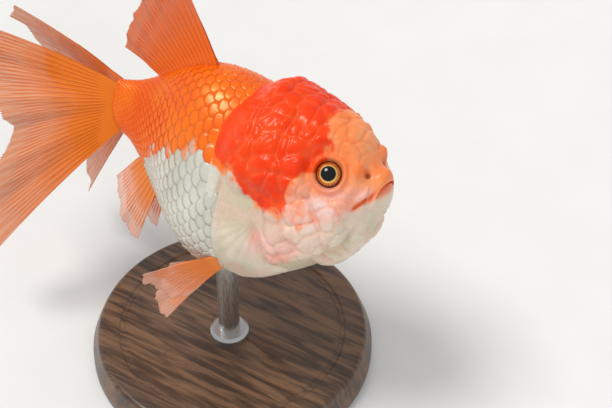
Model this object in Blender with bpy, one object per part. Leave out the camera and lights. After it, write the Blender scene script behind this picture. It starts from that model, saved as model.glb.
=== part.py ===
"""Oranda goldfish, life size, held on a display stand.

The fish is drawn in its own axes, X to the nose, Y to its left and Z to its back, in hundredths
of its standard length. One closed body is pulled from a ball, parted into named pieces by thin
cuts, and set on the stand with its nose up and its right flank turned upwards.
"""
from math import acos, atan2, cos, degrees, pi, radians, sin, sqrt, tau

import bmesh
import bpy
from mathutils import Matrix, Vector

# Driving dimensions, in metres and degrees
STANDARD_LENGTH = 0.088  # tip of the mouth to the root of the tail fin
UNIT = STANDARD_LENGTH / 100  # the fish is drawn in hundredths of that
GAP = 0.0003  # space between neighbouring pieces
SLIVER = 0.03  # points nearer than this after a cut are merged, in hundredths of the length
FIN_THICKNESS = 0.0007
PITCH = 9.0  # nose up
ROLL = 16.0  # right flank up
FISH_CENTRE = (0.002, 0.006, 0.071)  # middle of the body above the stand
BASE_RADIUS = 0.040
BASE_HEIGHT = 0.009
BASE_BEVEL = 0.0015
ROD_RADIUS = 0.003
ROD_STATION = 57  # where the rod meets the belly

# Station behind the mouth, top, bottom and half width, in hundredths of the standard length
PROFILE = (
    (6.4, 4.8, 4.8, 0.0),  # end of the mouth's hollow
    (5.6, 5.5, 3.6, 2.4),
    (3.4, 6.2, 2.7, 3.8),
    (1.2, 7.2, 1.7, 4.7),
    (-0.2, 9.1, -0.3, 5.2),  # crest of the lips
    (0.9, 10.5, -1.6, 6.3),
    (2.8, 10.6, -3.0, 6.9),  # crease behind the lips
    (5.0, 11.6, -7.6, 8.8),
    (9.0, 13.8, -13.4, 11.8),
    (14.0, 16.4, -19.0, 14.8),
    (21.0, 19.2, -24.6, 18.0),
    (29.0, 22.0, -29.2, 20.6),
    (37.0, 24.6, -32.4, 22.4),
    (45.0, 27.0, -34.2, 23.2),
    (53.0, 28.6, -35.2, 23.2),
    (61.0, 28.6, -34.0, 21.6),
    (69.0, 26.4, -29.8, 18.0),
    (77.0, 22.4, -22.2, 13.2),
    (85.0, 17.8, -13.0, 9.0),
    (92.0, 14.8, -6.6, 6.2),
    (98.0, 13.4, -3.6, 4.6),
    (100.6, 12.2, -2.4, 3.0),
    (101.4, 4.8, 4.8, 0.0),  # end of the tail stalk
)
RING_SHARE = ((0.0, 0), (0.125, 6), (0.73, 13), (1.0, len(PROFILE) - 1))  # share of rings to row
RINGS = 48
SEGMENTS = 34
WIDEST_LEVEL = 0.46  # height of the widest line, from the belly up
BACK_NARROWING = 0.13
TAIL_BEND = 4.0  # how far the tail's root swings to the left
FAR = 60  # well beyond the fish's side

# The hood: fleshy lobes on the crown, the cheeks and the chin
CAP_THICKNESS = 5.5
CHEEK_THICKNESS = 3.6
CHIN_THICKNESS = 2.4
LOBE_HEIGHT = 1.5
LOBE_RADIUS = 4.1
LOBE_PITCH = 6.2
GILL_BULGE = 1.3

EYE_STATION = 13.8
EYE_ANGLE = 50
EYE_RADIUS = 4.3
EYE_DEPTH = 1.6  # the eyeball's middle, inside the face
NOSTRIL_STATION = 6.4
NOSTRIL_ANGLE = 38
NOSTRIL_RADIUS = 3.0

MOUTH_LEVEL = 4.4
LIP_REAR = 2.9
MUZZLE_REAR = 11.0
# Where the body is parted: an oval's middle station and level, half length, half height, depth
HEAD_OVAL = (20, -2, 29, 46)
GILL_OVAL = (39.6, -5.0, 9.7, 17.0, 10)
CHEEK_OVAL = (16.4, 5.6, 9.4, 12.7, 4.6)
STALK_FRONT = 85.0
CROWN_FLOOR = 16.0  # lower edge of the crown piece at its rear
CROWN_TILT = 0.06  # that edge falls forwards

# Fins. Rise and spread are the angles of the first and last ray, in degrees: rise above the
# way to the tail, spread outwards from it. Longest, loss and power rule the rays' lengths.
DORSAL_STATIONS = (59, 82)
DORSAL_RISE = (64, 30)
FIN_ROOT_DEPTH = 1.0  # how far a fin starts inside the body
TAIL_STATION = 98
TAIL_LEVELS = (12.0, -2.6)  # upper and lower end of the root
TAIL_SIDES = (1.0, 1.9)
TAIL_RISE = (20, -42)
TAIL_SPREAD = (10, 34)
TAIL_TIP = 66
TAIL_NOTCH = 37
TAIL_LOBES = (("upper", 0.0, 0.485), ("lower", 0.515, 1.0))  # shares of each half's fan
PAIRED_FINS = {  # root: station and angle of its first and last ray
    "pectoral_fin": {
        "root": ((46.3, 128), (47.2, 143)), "rise": (-8, -44), "spread": (34, 24),
        "longest": 24, "loss": 9, "power": 1.5, "wave": 1.0,
    },
    "pelvic_fin": {
        "root": ((52, 160), (56, 166)), "rise": (-44, -12), "spread": (24, 10),
        "longest": 27, "loss": 10, "power": 1.3, "wave": 1.0,
    },
    "anal_fin": {
        "root": ((82, 168), (89, 168)), "rise": (-66, -40), "spread": (18, 12),
        "longest": 23, "loss": 9, "power": 1.2, "wave": 0.8,
    },
}


def smooth(value, low, high):
    """Rises from 0 at low to 1 at high, or falls where low is above high."""
    share = min(max((value - low) / (high - low), 0.0), 1.0)
    return share * share * (3 - 2 * share)


def window(value, low, high, edge):
    """1 between low and high, falling smoothly to 0 over edge on either side."""
    return smooth(value, low - edge, low) * smooth(value, high + edge, high)


def spline(rows, place):
    """A smooth curve through rows, read at a row number with a fraction."""
    index = min(int(place), len(rows) - 2)
    share = place - index
    before = rows[max(index - 1, 0)]
    after = rows[min(index + 2, len(rows) - 1)]
    found = []
    for p, q, r, s in zip(before, rows[index], rows[index + 1], after):
        bend = 2 * p - 5 * q + 4 * r - s
        twist = 3 * q - 3 * r + s - p
        found.append(q + 0.5 * share * (r - p + share * (bend + share * twist)))
    return found


def row_of_ring(share):
    """The row of PROFILE for a share of the rings, so that the head gets most of them."""
    for (low, row), (high, next_row) in zip(RING_SHARE, RING_SHARE[1:]):
        if share <= high:
            return row + (next_row - row) * (share - low) / (high - low)
    return RING_SHARE[-1][1]


def row_of_station(station):
    """The row of PROFILE at a station on the outside of the fish."""
    low, high = 5.0, len(PROFILE) - 1.0
    for _ in range(40):
        middle = (low + high) / 2
        if spline(PROFILE, middle)[0] < station:
            low = middle
        else:
            high = middle
    return low


def centre_line(station):
    """The body's middle line, which swings to the left at the tail."""
    swing = TAIL_BEND * smooth(station, 40, 104) ** 1.5
    return Vector((50 - station, swing, 0))


def bare_point(row, angle):
    """A point of the body without its hood; the angle runs from the back towards the left."""
    station, top, bottom, half_width = spline(PROFILE, row)
    level = bottom + WIDEST_LEVEL * (top - bottom)
    up = cos(angle)
    height = level + up * ((top - level) if up > 0 else (level - bottom))
    side = max(half_width, 0) * sin(angle) * (1 - BACK_NARROWING * up)
    return centre_line(station) + Vector((0, side, height))


def bare_normal(row, angle):
    """The outward direction at that point."""
    step = 0.02
    last = len(PROFILE) - 1
    ahead = bare_point(max(row - step, 0), angle)
    behind = bare_point(min(row + step, last), angle)
    left = bare_point(row, angle + step)
    right = bare_point(row, angle - step)
    return (behind - ahead).cross(right - left).normalized()


def head_place(station, angle_degrees):
    """A point of the bare head and its outward direction, at a station and an angle."""
    row = row_of_station(station)
    angle = radians(angle_degrees)
    return bare_point(row, angle), bare_normal(row, angle)


def eye_centre(side):
    point, normal = head_place(EYE_STATION, side * EYE_ANGLE)
    return point + normal * (CHEEK_THICKNESS * 0.5 - EYE_DEPTH)


def hood_lobes():
    """Middles of the hood's lobes, in staggered rows round the head, with a size for each."""
    lobes = []
    for row in range(8):
        station = 4.5 + row * LOBE_PITCH * 0.93
        place = row_of_station(station)
        half_girth = pi * spline(PROFILE, place)[1]
        count = max(3, round(half_girth / LOBE_PITCH))
        for number in range(-count, count + 1):
            angle = pi * (number + 0.5 * (row % 2)) / (count + 0.5)
            wander = 0.9 * sin(7.3 * number * number + 2.9 * row)
            point = bare_point(row_of_station(station + wander), angle)
            lobes.append((point, LOBE_RADIUS * (1 + 0.13 * sin(5.1 * number + 3.7 * row))))
    return lobes


LOBES = hood_lobes()
EYES = [eye_centre(side) for side in (-1, 1)]
NOSTRILS = [head_place(NOSTRIL_STATION, side * NOSTRIL_ANGLE)[0] for side in (-1, 1)]


def lobe_field(point):
    """0 in the creases between lobes, 1 on their crests."""
    best = 0.0
    for middle, radius in LOBES:
        distance = (point - middle).length_squared / (radius * radius)
        if distance < 1:
            best = max(best, sqrt(1 - distance))
    return best


def swelling(point, station, angle):
    """How far the hood and the gill covers stand out from the bare body."""
    degrees_down = abs(degrees(angle))
    cap_rear = 44 + 5 * smooth(degrees_down, 8, 50)
    cap = smooth(station, 3, 13) * smooth(station, cap_rear, 36) * smooth(degrees_down, 84, 60)
    cheek = window(station, 11, 26, 6) * window(degrees_down, 66, 118, 16)
    chin = window(station, 8, 15, 5) * smooth(degrees_down, 122, 142)
    eye_hollow = min(smooth((point - eye).length, 3.2, 7.4) for eye in EYES)
    hood = max(CAP_THICKNESS * cap, CHEEK_THICKNESS * cheek, CHIN_THICKNESS * chin)
    cover = max(cap, cheek, chin)
    lobes = LOBE_HEIGHT * (lobe_field(point) - 0.4) * smooth(cover, 0.1, 0.6)
    knob = 0.0
    for nostril in NOSTRILS:
        reach = 1 - (point - nostril).length_squared / NOSTRIL_RADIUS**2
        knob = max(knob, 1.8 * sqrt(max(reach, 0)))
    gill_rear = 45.5 - 7 * ((degrees_down - 112) / 55) ** 2
    gill = GILL_BULGE * smooth(station, 24, 36) * smooth(station, gill_rear + 1.4, gill_rear - 0.4)
    gill *= window(degrees_down, 78, 146, 18)
    return max((hood + lobes) * eye_hollow, gill) + knob


def body_point(row, angle, grow):
    station = spline(PROFILE, row)[0]
    point = bare_point(row, angle)
    lift = grow
    if 3.0 < station < 52 and row > 5:
        lift += swelling(point, station, angle)
    return point + bare_normal(row, angle) * lift


def body_mesh(name, grow=0.0, rings=RINGS, segments=SEGMENTS):
    """The whole body as one closed skin, pulled from a ball."""
    bm = bmesh.new()
    bmesh.ops.create_uvsphere(bm, u_segments=segments, v_segments=rings, radius=1)
    for vert in bm.verts:
        share = acos(max(-1.0, min(1.0, vert.co.z))) / pi
        angle = atan2(vert.co.x, vert.co.y)
        vert.co = body_point(row_of_ring(share), angle, grow)
    return add_object(name, bm)


def add_object(name, bm):
    mesh = bpy.data.meshes.new(name)
    bm.to_mesh(mesh)
    bm.free()
    found = bpy.data.objects.new(name, mesh)
    bpy.context.collection.objects.link(found)
    return found


def apply_boolean(target, cutter, operation):
    """Cuts target by cutter and keeps the result as target's own mesh."""
    modifier = target.modifiers.new("cut", "BOOLEAN")
    modifier.operation = operation
    modifier.solver = "EXACT"
    modifier.object = cutter
    graph = bpy.context.evaluated_depsgraph_get()
    result = bpy.data.meshes.new_from_object(target.evaluated_get(graph))
    target.modifiers.clear()
    target.data = result


def part_off(body, name, region):
    """Takes the piece of body inside region, and leaves body a gap round it."""
    piece = bpy.data.objects.new(name, body.data.copy())
    bpy.context.collection.objects.link(piece)
    for target, operation, grow in ((piece, "INTERSECT", 0.0), (body, "DIFFERENCE", GAP / UNIT)):
        cutter = region(grow)
        apply_boolean(target, cutter, operation)
        bpy.data.objects.remove(cutter)
    return piece


def clear_slivers(found):
    """Merges the points that a cut left almost on top of each other."""
    bm = bmesh.new()
    bm.from_mesh(found.data)
    bmesh.ops.remove_doubles(bm, verts=bm.verts, dist=SLIVER)
    bmesh.ops.dissolve_degenerate(bm, edges=bm.edges, dist=SLIVER)
    bmesh.ops.triangulate(bm, faces=bm.faces)
    bm.to_mesh(found.data)
    bm.free()


def keep_beyond(found, point, normal):
    """Keeps what lies beyond a plane, and closes it with a flat face."""
    bm = bmesh.new()
    bm.from_mesh(found.data)
    everything = bm.verts[:] + bm.edges[:] + bm.faces[:]
    cut = bmesh.ops.bisect_plane(
        bm, geom=everything, dist=1e-5, plane_co=point, plane_no=normal, clear_inner=True
    )
    rim = [e for e in cut["geom_cut"] if isinstance(e, bmesh.types.BMEdge)]
    bmesh.ops.triangle_fill(bm, use_beauty=True, edges=rim, normal=-normal)
    bm.to_mesh(found.data)
    bm.free()


def slice_off(body, name, point, normal):
    """Takes the piece of body beyond a plane, and leaves body a gap short of it."""
    piece = bpy.data.objects.new(name, body.data.copy())
    bpy.context.collection.objects.link(piece)
    point, normal = Vector(point), Vector(normal).normalized()
    keep_beyond(piece, point, normal)
    keep_beyond(body, point - normal * (GAP / UNIT), -normal)
    return piece


def oval_plug(station, level, half_length, half_height, inner, side):
    """A region with an oval outline, running sideways out from inner."""

    def region(grow):
        bm = bmesh.new()
        bmesh.ops.create_cone(
            bm, cap_ends=True, segments=22, radius1=1, radius2=1, depth=1
        )
        for vert in bm.verts:
            x = 50 - station + vert.co.x * (half_length + grow)
            z = level + vert.co.y * (half_height + grow)
            depth = inner - grow if vert.co.z < 0 else FAR
            vert.co = (x, side * depth, z)
        bmesh.ops.recalc_face_normals(bm, faces=bm.faces)
        return add_object("region", bm)

    return region


def ball(middle, radius, segments=14):
    def region(grow):
        bm = bmesh.new()
        bmesh.ops.create_uvsphere(
            bm, u_segments=segments, v_segments=segments // 2 + 2, radius=radius + grow
        )
        bmesh.ops.rotate(bm, matrix=Matrix.Rotation(pi / 2, 3, "X"), verts=bm.verts)
        bmesh.ops.translate(bm, vec=middle, verts=bm.verts)
        return add_object("region", bm)

    return region


def fish_body():
    """Parts the whole body into its named pieces."""
    trunk = body_mesh("trunk")
    rest = part_off(trunk, "head", oval_plug(*HEAD_OVAL, -FAR, 1))
    stalk = slice_off(trunk, "tail_stalk", (50 - STALK_FRONT, 0, 0), (-1, 0, 0))
    pieces = [rest, trunk, stalk]
    for side, hand in ((-1, "right"), (1, "left")):
        pieces.append(part_off(rest, f"gill_cover_{hand}", oval_plug(*GILL_OVAL, side)))
        pieces.append(part_off(rest, f"cheek_{hand}", oval_plug(*CHEEK_OVAL, side)))
        eye = ball(EYES[0 if side < 0 else 1], EYE_RADIUS)
        socket = eye(GAP / UNIT)
        apply_boolean(pieces[-1], socket, "DIFFERENCE")
        bpy.data.objects.remove(socket)
        pieces.append(eye(0))
        pieces[-1].name = f"eye_{hand}"
    lower_lip = slice_off(rest, "lip_lower", (50 - LIP_REAR, 0, 0), (1, 0, 0))
    upper_lip = slice_off(lower_lip, "lip_upper", (0, 0, MOUTH_LEVEL), (0, 0, 1))
    crown = slice_off(rest, "hood_crown", (0, 0, CROWN_FLOOR), (CROWN_TILT, 0, 1))
    jaw = slice_off(rest, "lower_jaw", (50 - MUZZLE_REAR, 0, 0), (1, 0, 0))
    snout = slice_off(jaw, "snout", (0, 0, MOUTH_LEVEL), (0, 0, 1))
    pieces += [lower_lip, upper_lip, crown, jaw, snout]
    for piece in pieces:
        clear_slivers(piece)
    return pieces


def ray_direction(rise, spread, side):
    """Backwards, raised by rise and turned outwards by spread, in degrees."""
    flat = cos(radians(rise))
    x = -flat * cos(radians(spread))
    y = side * flat * sin(radians(spread))
    return Vector((x, y, sin(radians(rise))))


def blend(pair, share):
    return pair[0] + (pair[1] - pair[0]) * share


def fin(name, root, rise, spread, length, side, rays=12, steps=7, wave=1.0, waves=1.5, sag=0.1):
    """A fin as a fan of rays from the root line, with a gentle wave towards its edge."""
    bm = bmesh.new()
    bmesh.ops.create_grid(bm, x_segments=rays, y_segments=steps, size=1)
    start, end = Vector(root[0]), Vector(root[1])
    for vert in bm.verts:
        across = (vert.co.x + 1) / 2
        along = (vert.co.y + 1) / 2
        direction = ray_direction(blend(rise, across), blend(spread, across), side)
        fan_step = ray_direction(blend(rise, across + 0.01), blend(spread, across + 0.01), side)
        sideways = direction.cross(fan_step - direction + (end - start) * 0.001).normalized()
        reach = length(across)
        point = start.lerp(end, across) + direction * (reach * along)
        point.z -= sag * reach * along**2
        ridge = 0.18 * (1 if round(across * rays) % 2 else -1) * smooth(along, 0.1, 0.4)
        point += sideways * (wave * along**2 * sin(waves * tau * across + 0.8) + ridge)
        vert.co = point
    bmesh.ops.recalc_face_normals(bm, faces=bm.faces)
    found = add_object(name, bm)
    solid = found.modifiers.new("thickness", "SOLIDIFY")
    solid.thickness = FIN_THICKNESS / UNIT
    solid.offset = 0
    graph = bpy.context.evaluated_depsgraph_get()
    found.data = bpy.data.meshes.new_from_object(found.evaluated_get(graph))
    found.modifiers.clear()
    return found


def lobe_length(across):
    """Rays of a forked half tail, longest near its two edges, with rounded tips."""
    outwards = abs(2 * across - 1)
    forked = TAIL_NOTCH + (TAIL_TIP - TAIL_NOTCH) * outwards**1.4
    return forked * (1 - 0.14 * smooth(outwards, 0.78, 1))


def dorsal_length(across):
    """Rays of the back fin, longest a little behind the first."""
    return 16 + 25 * (1 - across) ** 1.1 * smooth(across, -0.3, 0.14)


def tail_lobe(name, side, low, high):
    """The share from low to high of one half of the tail fin."""
    middle = centre_line(TAIL_STATION)
    root = [
        middle + Vector((0, side * blend(TAIL_SIDES, share), blend(TAIL_LEVELS, share)))
        for share in (low, high)
    ]
    rise = [blend(TAIL_RISE, share) for share in (low, high)]
    spread = [blend(TAIL_SPREAD, share) for share in (low, high)]

    def length(across):
        return lobe_length(blend((low, high), across))

    return fin(name, root, rise, spread, length, side, rays=9, steps=6, wave=2.4)


def paired_fin(name, side, root, rise, spread, longest, loss, power, wave):
    """One fin of a pair on the underside, rooted by station and angle."""
    ends = [
        body_point(row_of_station(station), side * radians(angle), -FIN_ROOT_DEPTH)
        for station, angle in root
    ]

    def length(across):
        return longest - loss * across**power

    return fin(name, ends, rise, spread, length, side, rays=7, steps=4, wave=wave)


def fish_fins():
    """Every fin, rooted a little inside the body, which trims it afterwards."""
    back = [body_point(row_of_station(station), 0, -1.5) for station in DORSAL_STATIONS]
    fins = [
        fin(
            "dorsal_fin", back, DORSAL_RISE, (0, 0), dorsal_length, 1,
            rays=13, steps=5, wave=1.6, waves=1.2, sag=-0.04,
        )
    ]
    for side, hand in ((-1, "right"), (1, "left")):
        for lobe, low, high in TAIL_LOBES:
            fins.append(tail_lobe(f"tail_{lobe}_{hand}", side, low, high))
        for kind, settings in PAIRED_FINS.items():
            fins.append(paired_fin(f"{kind}_{hand}", side, **settings))
    grown = body_mesh("grown", GAP / UNIT)
    for found in fins:
        apply_boolean(found, grown, "DIFFERENCE")
        clear_slivers(found)
    bpy.data.objects.remove(grown)
    return fins


def set_pose(pieces):
    """From the fish's axes and hundredths to metres above the stand."""
    turn = Matrix.Rotation(-radians(PITCH), 4, "Y") @ Matrix.Rotation(-radians(ROLL), 4, "X")
    pose = Matrix.Translation(FISH_CENTRE) @ turn @ Matrix.Scale(UNIT, 4)
    for piece in pieces:
        piece.data.transform(pose)
    return pose


def stand(pose):
    bm = bmesh.new()
    bmesh.ops.create_cone(
        bm, cap_ends=True, segments=40, radius1=BASE_RADIUS, radius2=BASE_RADIUS, depth=BASE_HEIGHT
    )
    bmesh.ops.translate(bm, vec=(0, 0, BASE_HEIGHT / 2), verts=bm.verts)
    rim = [e for e in bm.edges if all(v.co.z > BASE_HEIGHT / 2 for v in e.verts)]
    bmesh.ops.bevel(
        bm, geom=rim, offset=BASE_BEVEL, segments=1, profile=0.5, affect="EDGES", material=-1
    )
    base = add_object("stand_base", bm)
    belly = pose @ body_point(row_of_station(ROD_STATION), pi, 0)
    foot = BASE_HEIGHT + GAP
    top = belly.z + 0.008
    bm = bmesh.new()
    bmesh.ops.create_cone(
        bm, cap_ends=True, segments=24, radius1=ROD_RADIUS, radius2=ROD_RADIUS, depth=top - foot
    )
    bmesh.ops.translate(bm, vec=(belly.x, belly.y, (top + foot) / 2), verts=bm.verts)
    rod = add_object("stand_rod", bm)
    grown = body_mesh("grown", GAP / UNIT)
    grown.data.transform(pose)
    apply_boolean(rod, grown, "DIFFERENCE")
    bpy.data.objects.remove(grown)
    return base, rod


def finish(found, colour, roughness, metallic=0.0):
    """One plain material for each piece, and smooth shading with sharp edges kept."""
    material = bpy.data.materials.new(found.name)
    material.use_nodes = True
    shader = material.node_tree.nodes["Principled BSDF"]
    shader.inputs["Base Color"].default_value = (*colour, 1)
    shader.inputs["Roughness"].default_value = roughness
    shader.inputs["Metallic"].default_value = metallic
    found.data.materials.clear()
    found.data.materials.append(material)
    found.data.shade_smooth()
    found.data.set_sharp_from_angle(angle=radians(40))


COLOURS = (  # start of the name, colour, roughness
    ("hood", (0.86, 0.08, 0.01), 0.45),
    ("cheek", (0.90, 0.42, 0.26), 0.45),
    ("snout", (0.88, 0.26, 0.06), 0.45),
    ("lip", (0.86, 0.58, 0.42), 0.40),
    ("lower_jaw", (0.72, 0.62, 0.46), 0.45),
    ("gill", (0.82, 0.72, 0.55), 0.35),
    ("eye", (0.05, 0.04, 0.03), 0.08),
    ("head", (0.84, 0.40, 0.20), 0.45),
    ("trunk", (0.95, 0.28, 0.02), 0.35),
    ("tail_stalk", (0.90, 0.30, 0.04), 0.35),
)
FIN_COLOUR = ((0.72, 0.25, 0.05), 0.35)


def colour_of(name):
    for start, colour, roughness in COLOURS:
        if name.startswith(start):
            return colour, roughness
    return FIN_COLOUR


def main():
    for found in list(bpy.data.objects):
        bpy.data.objects.remove(found)
    pieces = fish_body() + fish_fins()
    pose = set_pose(pieces)
    for piece in pieces:
        finish(piece, *colour_of(piece.name))
    base, rod = stand(pose)
    finish(base, (0.05, 0.035, 0.025), 0.4)
    finish(rod, (0.6, 0.6, 0.6), 0.3, 1.0)


main()
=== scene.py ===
# A hooded goldfish, life size, on a turned display stand. Metres, +Z up.
from math import cos, pi, radians, sin, tau

import bmesh
import bpy
import numpy as np
from mathutils import Matrix, Vector, noise


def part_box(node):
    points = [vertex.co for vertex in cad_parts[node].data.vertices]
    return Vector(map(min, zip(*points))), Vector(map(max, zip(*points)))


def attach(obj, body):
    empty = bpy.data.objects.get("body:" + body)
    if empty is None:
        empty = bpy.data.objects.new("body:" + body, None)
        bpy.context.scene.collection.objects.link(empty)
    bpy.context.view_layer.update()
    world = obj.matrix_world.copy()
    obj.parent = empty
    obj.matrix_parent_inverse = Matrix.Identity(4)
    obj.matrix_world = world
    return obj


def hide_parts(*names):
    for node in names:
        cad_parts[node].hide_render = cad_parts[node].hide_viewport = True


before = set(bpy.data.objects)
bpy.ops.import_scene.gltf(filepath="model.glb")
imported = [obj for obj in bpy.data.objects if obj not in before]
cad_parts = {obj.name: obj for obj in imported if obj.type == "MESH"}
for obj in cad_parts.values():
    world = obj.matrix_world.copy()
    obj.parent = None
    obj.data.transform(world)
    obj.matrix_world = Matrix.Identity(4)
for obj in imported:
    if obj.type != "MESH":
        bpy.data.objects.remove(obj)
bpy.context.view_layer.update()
noise.seed_set(5)  # the same lumps in every run

# The fish is drawn in its own axes: X to the nose, Y to its left, Z to its back,
# in hundredths of its length from the mouth to the root of the tail fin.
fish = {
    "length": 0.088,
    "centre": (0.002, 0.006, 0.071),
    "noseUp": 9.0,
    "rightFlankUp": 16.0,
}
unit = fish["length"] / 100
pose = (
    Matrix.Translation(fish["centre"])
    @ Matrix.Rotation(-radians(fish["noseUp"]), 4, "Y")
    @ Matrix.Rotation(-radians(fish["rightFlankUp"]), 4, "X")
    @ Matrix.Scale(unit, 4)
)

# Each row: station behind the mouth, then the top, bottom and half width of the bare body
profile = np.array((
    (6.4, 4.8, 4.8, 0.0),  # end of the mouth's hollow
    (5.6, 5.5, 3.6, 2.4),
    (3.4, 6.2, 2.7, 3.8),
    (1.2, 7.2, 1.7, 4.7),
    (-0.2, 9.1, -0.3, 5.2),  # crest of the lips
    (0.9, 10.5, -1.6, 6.3),
    (2.8, 10.6, -3.0, 6.9),  # crease behind the lips
    (5.0, 11.6, -7.6, 8.8),
    (9.0, 13.8, -13.4, 11.8),
    (14.0, 16.4, -19.0, 14.8),
    (21.0, 19.2, -24.6, 18.0),
    (29.0, 22.0, -29.2, 20.6),
    (37.0, 24.6, -32.4, 22.4),
    (45.0, 27.0, -34.2, 23.2),
    (53.0, 28.6, -35.2, 23.2),
    (61.0, 28.6, -34.0, 21.6),
    (69.0, 26.4, -29.8, 18.0),
    (77.0, 22.4, -22.2, 13.2),
    (85.0, 17.8, -13.0, 9.0),
    (92.0, 14.8, -6.6, 6.2),
    (98.0, 13.4, -3.6, 4.6),
    (100.6, 12.2, -2.4, 3.0),
    (101.4, 4.8, 4.8, 0.0),  # end of the tail stalk
))
body = {
    "rings": 290,
    "segments": 320,
    "ringShares": (0.0, 0.10, 0.74, 1.0),  # the head gets most of the rings
    "ringRows": (0.0, 6.0, 13.4, 22.0),
    "widestLevel": 0.46,  # where the body is widest, as a share of its height
    "backNarrowing": 0.13,
    "tailBend": 4.0,  # how far the tail stalk swings to the left
}
hood = {
    "cap": 5.5,  # height of the flesh on the crown
    "cheek": 3.6,
    "chin": 2.4,
    "lobeRows": 11,
    "lobeHeight": 1.0,
    "lobeRadius": 3.3,
    "lobePitch": 4.8,  # between neighbours round the head
    "rowPitch": 4.464,
    "creaseDepth": 0.34,
    "creaseWidth": 0.5,
    "chinSoftness": 0.55,  # how much shallower the creases are on the underside
    "wander": 3.0,  # how far the lobes stray from their rows
    "noduleSize": 2.2,
    "noduleHeight": 0.22,
}
gill = {
    "bulge": 1.3,
    "sides": (78, 146),  # from its upper to its lower edge, in degrees below the back
    "creaseDepth": 0.9,
    "cheekCreaseDepth": 0.8,
    "ribHeight": 0.11,
}
mouth = {  # the fold runs from the lips' corner down and back along the cheek
    "foldFront": (49.5, 5.6),  # X and Z
    "foldRear": (43.0, -0.6),
    "foldDepth": 1.0,
    "foldWidth": 0.6,
    "lipHeight": 0.8,
    "level": 6.2,  # where the lips meet
    "opening": 0.10,  # how far the lips are apart, as a share of the bare mouth's height
    "cornersDown": 0.060,
    "cornersBack": 0.055,
}
eye = {
    "station": 13.8,
    "angle": 50,
    "radius": 4.3,
    "depth": 1.6,
    "hollow": (3.0, 9.0),  # the hood rises between these distances from its middle
    "rimReach": 4.3,
    "rimHeight": 2.5,
    "rimWidth": 1.15,
}
nostril = {  # a knob with a pit in front of it
    "station": 6.8,
    "angle": 36,
    "radius": 2.6,
    "height": 1.5,
    "pitStation": 4.6,
    "pitDepth": 1.6,
    "pitRadius": 0.9,
}


def smooth(value, low, high):
    share = np.clip((value - low) / (high - low), 0.0, 1.0)
    return share * share * (3 - 2 * share)


def window(value, low, high, edge):
    return smooth(value, low - edge, low) * smooth(value, high + edge, high)


def bell(value, width):
    return np.exp(-(value / width) ** 2)


def channels(*parts):  # up to four values for each vertex, kept as one colour
    filled = list(parts) + [np.ones_like(parts[0])] * (4 - len(parts))
    return np.stack(filled, axis=1)


def profileAt(row):  # a smooth curve through the rows, for an array of row numbers
    last = len(profile) - 1
    index = np.clip(row.astype(int), 0, last - 1)
    share = (row - index)[:, None]
    before = profile[np.maximum(index - 1, 0)]
    here = profile[index]
    ahead = profile[index + 1]
    after = profile[np.minimum(index + 2, last)]
    bend = 2 * before - 5 * here + 4 * ahead - after
    twist = 3 * here - 3 * ahead + after - before
    return here + 0.5 * share * (ahead - before + share * (bend + share * twist))


outerRows = np.linspace(5, len(profile) - 1, 3000)
outerStations = profileAt(outerRows)[:, 0]


def rowAt(station):
    return np.interp(station, outerStations, outerRows)


def centreLine(station):
    swing = body["tailBend"] * smooth(station, 40, 104) ** 1.5
    return np.stack((50 - station, swing, np.zeros_like(station)), axis=-1)


def barePoint(row, angle):
    station, top, bottom, halfWidth = profileAt(row).T
    level = bottom + body["widestLevel"] * (top - bottom)
    up = np.cos(angle)
    height = level + up * np.where(up > 0, top - level, level - bottom)
    side = np.maximum(halfWidth, 0) * np.sin(angle) * (1 - body["backNarrowing"] * up)
    place = centreLine(station)
    place[:, 1] += side
    place[:, 2] += height
    return place


def bareNormal(row, angle):
    step = 0.02
    ahead = barePoint(np.maximum(row - step, 0), angle)
    behind = barePoint(np.minimum(row + step, len(profile) - 1), angle)
    left = barePoint(row, angle + step)
    right = barePoint(row, angle - step)
    across = np.cross(behind - ahead, right - left)
    return across / np.maximum(np.linalg.norm(across, axis=1), 1e-9)[:, None]


def headPlace(station, angle):  # one point of the bare head and its outward direction
    row = rowAt(np.array([float(station)]))
    turn = np.array([radians(angle)])
    return barePoint(row, turn)[0], bareNormal(row, turn)[0]


def eyeCentre(side):
    point, outward = headPlace(eye["station"], side * eye["angle"])
    return point + outward * (hood["cheek"] * 0.5 - eye["depth"]), outward


def hoodLobes():  # rows of lobes round the head, unevenly placed and sized
    lobes = []
    for row in range(hood["lobeRows"]):
        station = 4.5 + row * hood["rowPitch"]
        halfGirth = pi * profileAt(rowAt(np.array([station])))[0, 1]
        count = max(3, round(halfGirth / hood["lobePitch"]))
        for number in range(-count, count + 1):
            sideways = 0.5 * (row % 2) + 0.28 * sin(12.9 * number + 4.1 * row * row)
            angle = pi * (number + sideways) / (count + 0.5)
            wander = 1.3 * sin(7.3 * number * number + 2.9 * row)
            place = rowAt(np.array([station + wander]))
            radius = hood["lobeRadius"] * (1 + 0.2 * sin(5.1 * number + 3.7 * row))
            lobes.append((barePoint(place, np.array([angle]))[0], radius))
    return lobes


lobes = hoodLobes()  # middle and radius of each
eyes = {side: eyeCentre(side) for side in (-1, 1)}
nostrils = [headPlace(nostril["station"], side * nostril["angle"])[0] for side in (-1, 1)]
nostrilPits = [headPlace(nostril["pitStation"], side * nostril["angle"])[0] for side in (-1, 1)]


def distanceTo(points, place):
    return np.linalg.norm(points - place, axis=1)


def nearest(points, places):
    return np.min([distanceTo(points, place) for place in places], axis=0)


def hoodParts(station, down):  # how much of the crown's cap, cheek pads and chin pads is here
    capRear = 44 + 5 * smooth(down, 8, 50)
    cap = smooth(station, 3, 13) * smooth(station, capRear, 36) * smooth(down, 84, 60)
    cheek = window(station, 11, 26, 6) * window(down, 66, 118, 16)
    chin = window(station, 8, 15, 5) * smooth(down, 122, 142)
    return cap, cheek, chin


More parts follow.
